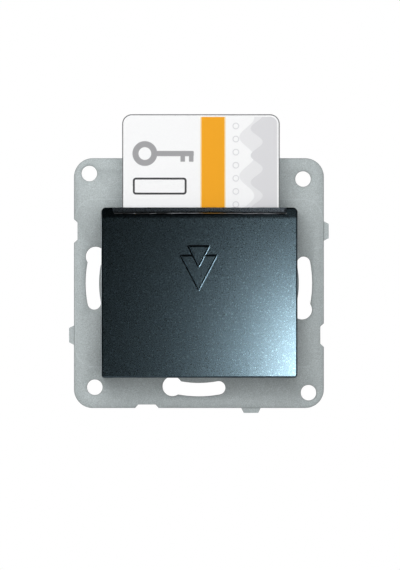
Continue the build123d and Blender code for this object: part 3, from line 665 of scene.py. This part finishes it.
@dataclass(frozen=True)
class PrintedCard:
    """Laminated white card with a stripe, a plain key sign, a blank field, waves and rings on its front."""

    name: str
    white: Colour = (0.955, 0.96, 0.965)
    stripe: Colour = (0.90, 0.385, 0.004)
    rim: Colour = (0.93, 0.74, 0.42)
    pale: Colour = (0.71, 0.71, 0.73)
    grey: Colour = (0.36, 0.36, 0.37)
    dark: Colour = (0.045, 0.045, 0.048)
    # Painted shade: a dark line along the card's front border.
    edge_shade: Colour = (0.13, 0.135, 0.14)
    roughness: float = 0.36
    gloss: float = 0.12
    relief: Pair = (0.006 * MM, 0.4)
    haze: Noise = Noise(0.5 * MM)
    haze_tones: Pair = (0.985, 1.0)
    front_limits: Pair = (0.7, 0.9)
    # Painted shade on the card's sides.
    side_shade: Veil = Veil((0.3, 0.7), (1.0, 0.0), 0.35)
    card: Box = Box((0.45 * MM, 12.4 * MM), (22.25 * MM, 35.3 * MM), 2.7 * MM)
    margin: float = 0.75 * MM
    line: float = 0.28 * MM
    soft: float = 0.10 * MM
    stripe_edges: Pair = (0.6 * MM, 7.1 * MM)
    rim_width: float = 0.35 * MM
    bow_middle: Pair = (-15.4 * MM, 36.6 * MM)
    bow_radii: Pair = (3.5 * MM, 1.8 * MM)
    stem_size: Pair = (10.6 * MM, 1.5 * MM)
    bit_places: Pair = (7.2 * MM, 9.6 * MM)
    bit_half: Pair = (0.65 * MM, 1.15 * MM)
    field: Box = Box((-11.2 * MM, 27.4 * MM), (7.6 * MM, 2.4 * MM), 0.9 * MM)
    waves: tuple[Wave, ...] = (
        Wave(13.4 * MM, 2.1 * MM, 11.0 * MM, 0.55),
        Wave(16.2 * MM, 1.7 * MM, 7.6 * MM, 1.0),
    )
    ring_line: float = 10.3 * MM
    ring_radius: float = 0.8 * MM
    ring_pitch: float = 3.7 * MM

    def material(self) -> bpy.types.Material:
        """Build the finish.

        Returns:
            The material.
        """
        nodes = SurfaceTree(self.name)
        haze = nodes.noise(self.haze)
        tone = nodes.grained(haze, self.white, self.haze_tones)
        front = nodes.span(nodes.toward(FRONT), self.front_limits)
        outside = nodes.outside(self.card)
        printed = nodes.maths("MULTIPLY", self.filled(nodes, outside, self.margin), front)
        for mask, colour in self.prints(nodes):
            tone = nodes.mix(nodes.maths("MULTIPLY", mask, printed), tone, colour)
        # Painted shade along the border of the front.
        edge = nodes.span(outside, (-self.line - self.soft, -self.line + self.soft))
        tone = nodes.mix(nodes.maths("MULTIPLY", edge, front), tone, self.edge_shade)
        # Painted shade on the sides, which turn from front and back.
        tone = nodes.veiled(tone, nodes.facing(Axis.Y), self.side_shade, self.white)
        nodes.surface(Base_Color=tone, Roughness=self.roughness, Specular_IOR_Level=self.gloss)
        nodes.emboss(haze, self.relief)
        return nodes.material

    def filled(self, nodes: SurfaceTree, outside: Socket, inset: float = 0.0) -> Socket:
        """Fill a shape up to a soft edge.

        Args:
            nodes: Material that takes the print.
            outside: Distance to the shape, below zero inside.
            inset: How far inside the shape the fill ends.

        Returns:
            1 inside and 0 outside.
        """
        return nodes.span(outside, (-inset - self.soft, -inset + self.soft), (1.0, 0.0))

    def prints(self, nodes: SurfaceTree) -> list[tuple[Socket, Colour]]:
        """List what is printed on the front, from the lowest layer up.

        Args:
            nodes: Material that takes the print.

        Returns:
            Mask and colour of each layer.
        """
        across = nodes.along(Axis.X)
        layers = []
        for wave in self.waves:
            bend = nodes.maths("SINE", nodes.maths("DIVIDE", nodes.along(Axis.Z), wave.length / math.tau))
            edge = nodes.maths("ADD", nodes.maths("MULTIPLY", bend, wave.swing), wave.place)
            past = nodes.maths("SUBTRACT", across, edge)
            layers.append((nodes.span(past, (-self.soft, self.soft), (0.0, wave.share)), self.pale))
        beside = nodes.maths("SUBTRACT", across, self.ring_line)
        along = nodes.maths("PINGPONG", nodes.along(Axis.Z), self.ring_pitch / 2)
        ring = nodes.maths("SUBTRACT", nodes.length(beside, along), self.ring_radius)
        layers.append((nodes.band(ring, (-self.line / 2, self.line / 2), self.soft), self.pale))
        left, right = self.stripe_edges
        rimmed = (left - self.rim_width, right + self.rim_width)
        layers.append((nodes.band(across, rimmed, self.soft), self.rim))
        layers.append((nodes.band(across, self.stripe_edges, self.soft), self.stripe))
        layers.append((self.key_sign(nodes), self.grey))
        border = nodes.band(nodes.outside(self.field), (-2 * self.line, 0.0), self.soft)
        layers.append((border, self.dark))
        return layers

    def key_sign(self, nodes: SurfaceTree) -> Socket:
        """Draw a plain key: a bow, a stem and two bits.

        Args:
            nodes: Material that takes the print.

        Returns:
            The mask of the key.
        """
        across, height = self.bow_middle
        outer, inner = self.bow_radii
        reach, thick = self.stem_size
        bow = nodes.outside(Box(self.bow_middle, (outer, outer), outer))
        mask = nodes.band(bow, (inner - outer, 0.0), self.soft)
        shoulder = across + outer
        stem = Box((shoulder + reach / 2 - self.line, height), (reach / 2, thick / 2), self.line)
        bits = [
            Box((shoulder + place, height - self.bit_half[1]), self.bit_half, self.line / 2)
            for place in self.bit_places
        ]
        for box in (stem, *bits):
            mask = nodes.maths("MAXIMUM", mask, self.filled(nodes, nodes.outside(box)))
        return mask


FINISHES = {
    Slot.FRAME_STEEL: SheetSteel("galvanised_sheet"),
    Slot.COVER_LACQUER: SatinLacquer("anthracite_lacquer"),
    Slot.CARD_PLASTIC: PrintedCard("printed_card"),
    Slot.BLACK_PLASTIC: MouldedPlastic("black_moulding", (0.016, 0.017, 0.019), 0.48),
    Slot.GREY_PLASTIC: MouldedPlastic("grey_moulding", (0.26, 0.27, 0.28), 0.42),
    Slot.HOUSING_PLASTIC: MouldedPlastic(
        "base_moulding", (0.52, 0.51, 0.47), 0.55, Noise(0.4 * MM, 3.0), 0.025
    ),
    Slot.SPRING_STEEL: BareMetal("drawn_steel", (0.52, 0.52, 0.54), 0.28),
    Slot.ZINC_SCREW: BareMetal("zinc_plate", (0.66, 0.67, 0.68), 0.30, Axis.Y),
    Slot.CLAW_STEEL: BareMetal("passivated_zinc", (0.60, 0.57, 0.46), 0.38, Axis.Y),
    Slot.CONTACT_BRASS: BareMetal("rolled_brass", (0.80, 0.58, 0.26), 0.30, Axis.Z),
    Slot.CONTACT_SILVER: BareMetal("contact_silver", (0.86, 0.86, 0.84), 0.22, Axis.X),
}


class Palette:
    """Materials of the scene, one for each slot."""

    def __init__(self) -> None:
        """Build the material of each slot."""
        self.materials = {slot: finish.material() for slot, finish in FINISHES.items()}

    def dress(self, node: str, slot: Slot) -> None:
        """Give a CAD node the finish of its slot.

        Args:
            node: Name of the CAD node.
            slot: Slot that the node takes its finish from.
        """
        mesh_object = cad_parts[node]
        mesh_object.data.materials.clear()
        mesh_object.data.materials.append(self.materials[slot])
        LOG.info("dressed %s with %s", node, slot.value)


def welded(node: str) -> bmesh.types.BMesh:
    """Copy a CAD node's mesh with its seams closed.

    Args:
        node: Name of the CAD node.

    Returns:
        The closed copy, for the caller to free.
    """
    work = bmesh.new()
    work.from_mesh(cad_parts[node].data)
    bmesh.ops.remove_doubles(work, verts=work.verts, dist=SEAM)
    bmesh.ops.recalc_face_normals(work, faces=work.faces)
    return work


def soften(mesh: bpy.types.Mesh) -> None:
    """Shade a mesh smoothly, but for its sharp edges."""
    mesh.polygons.foreach_set("use_smooth", [True] * len(mesh.polygons))
    mesh.set_sharp_from_angle(angle=SHARP_ANGLE)


def stand_in(
    name: str, work: bmesh.types.BMesh, node: str, body: str, slot: Slot, palette: Palette
) -> bpy.types.Object:
    """Put a finer piece in the place of a CAD node.

    Args:
        name: Name of the finer piece.
        work: Its mesh, freed here.
        node: CAD node that it replaces.
        body: Body that it rides.
        slot: Slot of its finish.
        palette: Materials of the scene.

    Returns:
        The new piece.
    """
    mesh = bpy.data.meshes.new(name)
    work.to_mesh(mesh)
    work.free()
    stale = mesh.attributes.get("custom_normal")
    if stale is not None:
        mesh.attributes.remove(stale)
    soften(mesh)
    mesh.materials.append(palette.materials[slot])
    piece = bpy.data.objects.new(name, mesh)
    bpy.context.scene.collection.objects.link(piece)
    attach(piece, body)
    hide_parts(node)
    LOG.info("built %s with %d faces", name, len(mesh.polygons))
    return piece


@dataclass
class Assembly:
    """Sub-assembly whose CAD nodes keep their shapes and take their finishes."""

    palette: Palette
    dressed: ClassVar[dict[str, Slot]] = {}

    def build(self) -> None:
        """Dress the nodes."""
        for node, slot in self.dressed.items():
            self.palette.dress(node, slot)


@dataclass(frozen=True)
class Triangle:
    """Triangle that points down: half its width, and the heights of its top and its tip."""

    half: float
    top: float
    tip: float


@dataclass
class FrontCover(Assembly):
    """Hood with its crowned face and the two engraved triangles that point to the card's way in."""

    face: CrownedFace = CrownedFace()
    centre: float = -0.2 * MM
    small: Triangle = Triangle(2.98 * MM, 10.47 * MM, 4.57 * MM)
    large: Triangle = Triangle(5.1 * MM, 7.79 * MM, -1.92 * MM)
    line_width: float = 0.58 * MM
    line_depth: float = 0.18 * MM
    line_overrun: float = 0.6
    floor_share: float = 0.12
    wedge_rise: float = 0.3 * MM
    face_tilt: float = 0.985
    face_slack: float = 0.04 * MM

    def build(self) -> None:
        """Build the engraved hood in place of the plain one."""
        work = welded("front_cover")
        hood = stand_in(HOOD, work, "front_cover", "switch_base", Slot.COVER_LACQUER, self.palette)
        self.cut(hood, [self.wedge(start, end) for start, end in self.lines()])
        soften(hood.data)
        self.crown_shading(hood.data)

    def spot(self, across: float, height: float) -> Vector:
        """Return a place on the face, x and z, from its distance to the engraving's middle and its height."""
        return Vector((self.centre + across, height))

    def lines(self) -> list[tuple[Vector, Vector]]:
        """List the engraved lines: the small triangle, and what shows of the large one behind it.

        Returns:
            Both ends of each line, x and z.
        """
        small, large = self.small, self.large
        gap = small.half * ((large.top - small.tip) / (small.top - small.tip))
        found = [(self.spot(-small.half, small.top), self.spot(small.half, small.top))]
        for side in (-1, 1):
            shoulder = self.spot(side * large.half, large.top)
            found += [
                (self.spot(side * small.half, small.top), self.spot(0.0, small.tip)),
                (shoulder, self.spot(0.0, large.tip)),
                (self.spot(side * gap, large.top), shoulder),
            ]
        return found

    def wedge(self, start: Vector, end: Vector) -> bpy.types.Object:
        """Build the wedge that engraves one line.

        Args:
            start: One end, x and z.
            end: Other end, x and z.

        Returns:
            The wedge.
        """
        run = (end - start).normalized()
        side = Vector((-run.y, run.x))
        half = self.line_width / 2
        spread = half * (1.0 + self.wedge_rise / self.line_depth)
        floor = half * self.floor_share
        profile = (
            (-spread, -self.wedge_rise),
            (spread, -self.wedge_rise),
            (floor, self.line_depth),
            (-floor, self.line_depth),
        )
        work = bmesh.new()
        rings = []
        for point, way in ((start, -1), (end, 1)):
            tip = point + run * way * half * self.line_overrun
            ring = []
            for offset, height in profile:
                spot = tip + side * offset
                ring.append(work.verts.new((spot.x, self.face.depth(tip.x) + height, spot.y)))
            rings.append(ring)
        first, last = rings
        for step in range(len(profile)):
            after = (step + 1) % len(profile)
            work.faces.new((first[step], first[after], last[after], last[step]))
        work.faces.new(first)
        work.faces.new(last[::-1])
        bmesh.ops.recalc_face_normals(work, faces=work.faces)
        mesh = bpy.data.meshes.new("wedge")
        work.to_mesh(mesh)
        work.free()
        return bpy.data.objects.new("wedge", mesh)

    def cut(self, hood: bpy.types.Object, wedges: list[bpy.types.Object]) -> None:
        """Take wedges out of the hood.

        Args:
            hood: The hood.
            wedges: What is taken out, removed here.
        """
        tools = bpy.data.collections.new("engraving")
        bpy.context.scene.collection.children.link(tools)
        for wedge in wedges:
            tools.objects.link(wedge)
        carving = hood.modifiers.new("engraving", "BOOLEAN")
        carving.operation = "DIFFERENCE"
        carving.operand_type = "COLLECTION"
        carving.collection = tools
        carving.solver = "EXACT"
        bpy.context.view_layer.update()
        carved = hood.evaluated_get(bpy.context.evaluated_depsgraph_get())
        mesh = bpy.data.meshes.new_from_object(carved)
        hood.modifiers.clear()
        hood.data = mesh
        for wedge in wedges:
            bpy.data.objects.remove(wedge)
        bpy.data.collections.remove(tools)

    def crown_shading(self, mesh: bpy.types.Mesh) -> None:
        """Shade the crowned face along its true curve.

        Args:
            mesh: The carved hood.
        """
        radius = self.face.radius()
        normals = [Vector(ORIGIN)] * len(mesh.loops)
        for polygon in mesh.polygons:
            if polygon.normal.y > -self.face_tilt:
                continue
            for loop in polygon.loop_indices:
                spot = mesh.vertices[mesh.loops[loop].vertex_index].co
                if abs(spot.y - self.face.depth(spot.x)) < self.face_slack:
                    normals[loop] = Vector((spot.x / radius, -1.0, 0.0)).normalized()
        mesh.normals_split_custom_set(normals)


@dataclass
class MountingPlate(Assembly):
    """Stamped frame that the wall screws hold, its front edges rolled over by the punch."""

    front: float = -1.2 * MM
    front_tilt: float = 0.99
    roll_width: float = 0.28 * MM
    roll_depth: float = 0.12 * MM

    def build(self) -> None:
        """Build the frame with its rolled edges in place of the plain one."""
        work = welded("mounting_frame")
        flat = [face for face in work.faces if self.lies_in_front(face)]
        rim = {tuple(vert.co) for face in flat for vert in face.verts}
        bmesh.ops.inset_region(work, faces=flat, thickness=self.roll_width, use_even_offset=True)
        for vert in work.verts:
            if tuple(vert.co) in rim:
                vert.co.y += self.roll_depth
        stand_in("stamped_plate", work, "mounting_frame", "switch_base", Slot.FRAME_STEEL, self.palette)

    def lies_in_front(self, face: bmesh.types.BMFace) -> bool:
        """Tell whether a face lies in the front plane."""
        offset = face.calc_center_median().y - self.front
        return face.normal.y < -self.front_tilt and abs(offset) < LEVEL


@dataclass
class KeyCard(Assembly):
    """Card in the pocket."""

    dressed: ClassVar[dict[str, Slot]] = {"key_card": Slot.CARD_PLASTIC}


@dataclass
class CardCarrier(Assembly):
    """Guide behind the card, its springs, and the plunger that the card works."""

    dressed: ClassVar[dict[str, Slot]] = {
        "card_guide": Slot.BLACK_PLASTIC,
        "card_springs": Slot.SPRING_STEEL,
        "card_plunger": Slot.GREY_PLASTIC,
        "plunger_spring": Slot.SPRING_STEEL,
    }


@dataclass
class ContactBase(Assembly):
    """Moulded base with the lever, the contacts and the terminals."""

    dressed: ClassVar[dict[str, Slot]] = {
        "mechanism_cover": Slot.BLACK_PLASTIC,
        "housing": Slot.HOUSING_PLASTIC,
        "lever_pin": Slot.SPRING_STEEL,
        "contact_lever": Slot.GREY_PLASTIC,
        "moving_contact": Slot.CONTACT_BRASS,
        "moving_tips": Slot.CONTACT_SILVER,
        "fixed_tips": Slot.CONTACT_SILVER,
        "line_terminal": Slot.CONTACT_BRASS,
        "load_terminal": Slot.CONTACT_BRASS,
        "spare_terminal": Slot.CONTACT_BRASS,
        "clamp_plates": Slot.ZINC_SCREW,
    }


@dataclass(frozen=True)
class ThreadedScrews:
    """Screws of one kind, whose plain CAD shanks are cut with a right-hand thread."""

    node: str
    body: str
    centres: tuple[Pair, ...]
    seat: float
    tip: float
    radius: float
    axis: Axis = Axis.Y
    pitch: float = 0.7 * MM
    depth: float = 0.22 * MM
    point: float = 0.5 * MM
    sides: int = 18
    steps: int = 4

    def build(self, palette: Palette) -> None:
        """Build the screws in place of the plain ones.

        Args:
            palette: Materials of the scene.
        """
        work = welded(self.node)
        ends = [vert for vert in work.verts if abs(vert.co[self.axis.value] - self.tip) < LEVEL]
        bmesh.ops.delete(work, geom=ends, context="VERTS")
        for centre in self.centres:
            self.wind(work, centre)
        stand_in(f"threaded_{self.node}", work, self.node, self.body, Slot.ZINC_SCREW, palette)

    def wind(self, work: bmesh.types.BMesh, centre: Pair) -> None:
        """Add one threaded shank.

        Args:
            work: Mesh that takes the shank.
            centre: Middle of the shank across its axis.
        """
        count = round(abs(self.tip - self.seat) / self.pitch * self.steps)
        rings = [self.ring(work, centre, step, count) for step in range(count + 1)]
        for lower, upper in zip(rings, rings[1:]):
            for side in range(self.sides):
                after = (side + 1) % self.sides
                work.faces.new((lower[side], lower[after], upper[after], upper[side]))
        work.faces.new(rings[-1])
        bmesh.ops.recalc_face_normals(work, faces=work.faces)

    def ring(
        self, work: bmesh.types.BMesh, centre: Pair, step: int, count: int
    ) -> list[bmesh.types.BMVert]:
        """Add one ring of the thread.

        Args:
            work: Mesh that takes the ring.
            centre: Middle of the shank across its axis.
            step: Place of the ring from the head.
            count: Number of steps along the shank.

        Returns:
            The ring's vertices.
        """
        height = self.seat + (self.tip - self.seat) * step / count
        taper = max(0.0, self.point - abs(self.tip - height))
        found = []
        for side in range(self.sides):
            phase = (step / self.steps - side / self.sides) % 1.0
            groove = self.depth * (1.0 - abs(2.0 * phase - 1.0))
            reach = self.radius - max(taper, groove)
            turn = math.tau * side / self.sides
            first, second = centre[0] + reach * math.sin(turn), centre[1] + reach * math.cos(turn)
            place = (first, height, second) if self.axis is Axis.Y else (first, second, height)
            found.append(work.verts.new(place))
        return found


@dataclass
class Fixings(Assembly):
    """Claws, and the assembly, terminal and claw screws."""

    dressed: ClassVar[dict[str, Slot]] = {"left_claw": Slot.CLAW_STEEL, "right_claw": Slot.CLAW_STEEL}
    screws: tuple[ThreadedScrews, ...] = (
        ThreadedScrews(
            node="assembly_screws",
            body="switch_base",
            centres=tuple((across * MM, height * MM) for across in (-22.3, 22.3) for height in (-12.0, 12.0)),
            seat=-3.2 * MM,
            tip=4.8 * MM,
            radius=1.3 * MM,
        ),
        ThreadedScrews(
            node="terminal_screws",
            body="switch_base",
            centres=tuple((across * MM, 14.0 * MM) for across in (-12.0, 0.0, 12.0)),
            seat=18.2 * MM,
            tip=7.6 * MM,
            radius=1.5 * MM,
            axis=Axis.Z,
        ),
        *(
            ThreadedScrews(
                node=f"{hand}_claw_screw",
                body=f"{hand}_claw_screw",
                centres=((across * MM, 0.0),),
                seat=-1.2 * MM,
                tip=22.5 * MM,
                radius=1.5 * MM,
            )
            for hand, across in (("left", -22.8), ("right", 22.8))
        ),
    )

    def build(self) -> None:
        """Dress the claws and thread the screws."""
        super().build()
        for screws in self.screws:
            screws.build(self.palette)


@dataclass(frozen=True)
class SoftLight:
    """One square area light of the studio, with its side in metres and its power in watts."""

    name: str
    place: Triple
    side: float
    power: float
    aim: Triple = ORIGIN
    colour: Colour = WHITE
    reach: Reach = Reach.ALL

    def build(self, cover: bpy.types.Object) -> None:
        """Add the light to the scene.

        Args:
            cover: The hood, which some lights alone fall on and others leave out.
        """
        lamp = bpy.data.lights.new(self.name, "AREA")
        lamp.shape = "SQUARE"
        lamp.size = self.side
        lamp.energy = self.power
        lamp.color = self.colour
        light = bpy.data.objects.new(self.name, lamp)
        light.location = self.place
        light.rotation_euler = (Vector(self.aim) - Vector(self.place)).to_track_quat("-Z", "Y").to_euler()
        light.visible_camera = False
        bpy.context.scene.collection.objects.link(light)
        if self.reach is not Reach.ALL:
            group = bpy.data.collections.new(f"{self.name}_reach")
            group.objects.link(cover)
            light.light_linking.receiver_collection = group
            state = "INCLUDE" if self.reach is Reach.COVER else "EXCLUDE"
            group.collection_objects[0].light_linking.link_state = state
        LOG.info("added %s", self.name)


@dataclass
class Studio:
    """Camera, world, floor and soft lights."""

    distance: float = 3.5
    side_step: float = -0.040
    picture_height: float = 161.56 * MM
    picture_pixels: Pair = (400.0, 570.0)
    origin_pixel: Pair = (198.9, 283.1)
    sensor: float = 36.0
    far_limit: float = 20.0
    dark_side: Triple = (-0.25, -1.0, 0.25)
    world_tones: tuple[Pair, ...] = ((0.50, 0.62), (0.80, 0.0))
    world_strength: float = 0.20
    backdrop: Pair = (0.30, 0.15)
    floor_half: float = 0.32
    floor_drop: float = 0.24
    floor_glow: float = 0.5
    floor_roughness: float = 0.85
    floor_cloud: Noise = Noise(60 * MM)
    floor_tones: Pair = (0.80, 0.83)
    lights: tuple[SoftLight, ...] = (
        SoftLight(
            "key_light", (-0.13, -0.38, 0.25), 0.42, 1.25, aim=(0.0, 0.0, 0.01), reach=Reach.ALL_BUT_COVER
        ),
        SoftLight("fill_light", (0.05, -0.80, 0.05), 0.70, 3.75, reach=Reach.ALL_BUT_COVER),
        SoftLight(
            "cover_panel",
            (0.058, -0.130, -0.036),
            0.05,
            0.075,
            aim=(0.036, -0.015, -0.026),
            colour=(1.0, 0.985, 0.955),
            reach=Reach.COVER,
        ),
        SoftLight("cover_glint", (-0.45, -0.22, 0.21), 0.10, 0.11, reach=Reach.COVER),
        SoftLight("back_light", (0.6, 1.0, 0.7), 0.6, 7.0),
        SoftLight("low_back_light", (-0.7, 0.9, -0.1), 0.6, 4.0),
    )

    def build(self, cover: bpy.types.Object) -> None:
        """Set up the whole studio.

        Args:
            cover: The hood, which has lights of its own.
        """
        self.add_camera()
        self.add_world()
        self.add_floor()
        for light in self.lights:
            light.build(cover)
        bpy.context.scene.view_settings.view_transform = "Standard"

    def add_camera(self) -> None:
        """Add the camera at the photograph's viewing angle."""
        lens = bpy.data.cameras.new("camera")
        lens.sensor_fit = "AUTO"
        lens.sensor_width = self.sensor
        lens.lens = self.sensor * self.distance / self.picture_height
        lens.clip_end = self.far_limit
        width, height = self.picture_pixels
        lens.shift_x = (width / 2 - self.origin_pixel[0]) / height
        lens.shift_y = (self.origin_pixel[1] - height / 2) / height
        camera = bpy.data.objects.new("camera", lens)
        camera.location = (self.side_step, -self.distance, 0.0)
        camera.rotation_euler = (-camera.location).to_track_quat("-Z", "Y").to_euler()
        bpy.context.scene.collection.objects.link(camera)
        bpy.context.scene.camera = camera

    def add_world(self) -> None:
        """Add a soft grey studio in front of the part, and a white backdrop that camera and metal see."""
        world = bpy.data.worlds.new("studio")
        bpy.context.scene.world = world
        nodes = NodeTree(world)
        lean = nodes.lean(nodes.place.outputs["Generated"], self.dark_side)
        frontward = nodes.span(lean, (-1.0, 1.0), easing=Easing.STRAIGHT)
        ramp = nodes.add("ValToRGB", {"Fac": frontward})
        ramp.color_ramp.interpolation = "EASE"
        for element, (spot, tone) in zip(ramp.color_ramp.elements, self.world_tones):
            element.position = spot
            element.color = (tone, tone, tone, 1.0)
        studio = nodes.add("Background", {"Color": ramp.outputs["Color"], "Strength": self.world_strength})
        white = nodes.add("Background", {"Color": WHITE, "Strength": 1.0})
        rays = nodes.add("LightPath").outputs
        mirrored = nodes.maths("MAXIMUM", rays["Is Glossy Ray"], rays["Is Transmission Ray"])
        behind = nodes.span(frontward, self.backdrop, easing=Easing.STRAIGHT)
        seen = nodes.maths("MAXIMUM", nodes.maths("MULTIPLY", behind, mirrored), rays["Is Camera Ray"])
        shown = {"Fac": seen, 1: studio.outputs["Background"], 2: white.outputs["Background"]}
        nodes.add("OutputWorld", {"Surface": nodes.add("MixShader", shown).outputs["Shader"]})

    def add_floor(self) -> None:
        """Add a small pale floor below the picture."""
        half, height = self.floor_half, -self.floor_drop
        corners = [(-half, -half, height), (half, -half, height), (half, half, height), (-half, half, height)]
        mesh = bpy.data.meshes.new("floor")
        mesh.from_pydata(corners, [], [(0, 1, 2, 3)])
        nodes = SurfaceTree("pale_floor")
        tones = (shade(WHITE, tone) for tone in self.floor_tones)
        tone = nodes.mix(nodes.noise(self.floor_cloud), *tones)
        nodes.surface(Base_Color=tone, Roughness=self.floor_roughness, Emission_Color=WHITE)
        seen = nodes.add("LightPath").outputs["Is Camera Ray"]
        nodes.surface(Emission_Strength=nodes.maths("MULTIPLY", seen, self.floor_glow))
        mesh.materials.append(nodes.material)
        floor = bpy.data.objects.new("floor", mesh)
        bpy.context.scene.collection.objects.link(floor)


def main() -> None:
    """Build the pieces in order."""
    logging.basicConfig(level=logging.INFO, format="%(message)s")
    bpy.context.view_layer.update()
    palette = Palette()
    for assembly in (FrontCover, MountingPlate, KeyCard, CardCarrier, ContactBase, Fixings):
        assembly(palette).build()
        LOG.info("built %s", assembly.__name__)
    Studio().build(bpy.data.objects[HOOD])


if __name__ == "__main__":
    main()
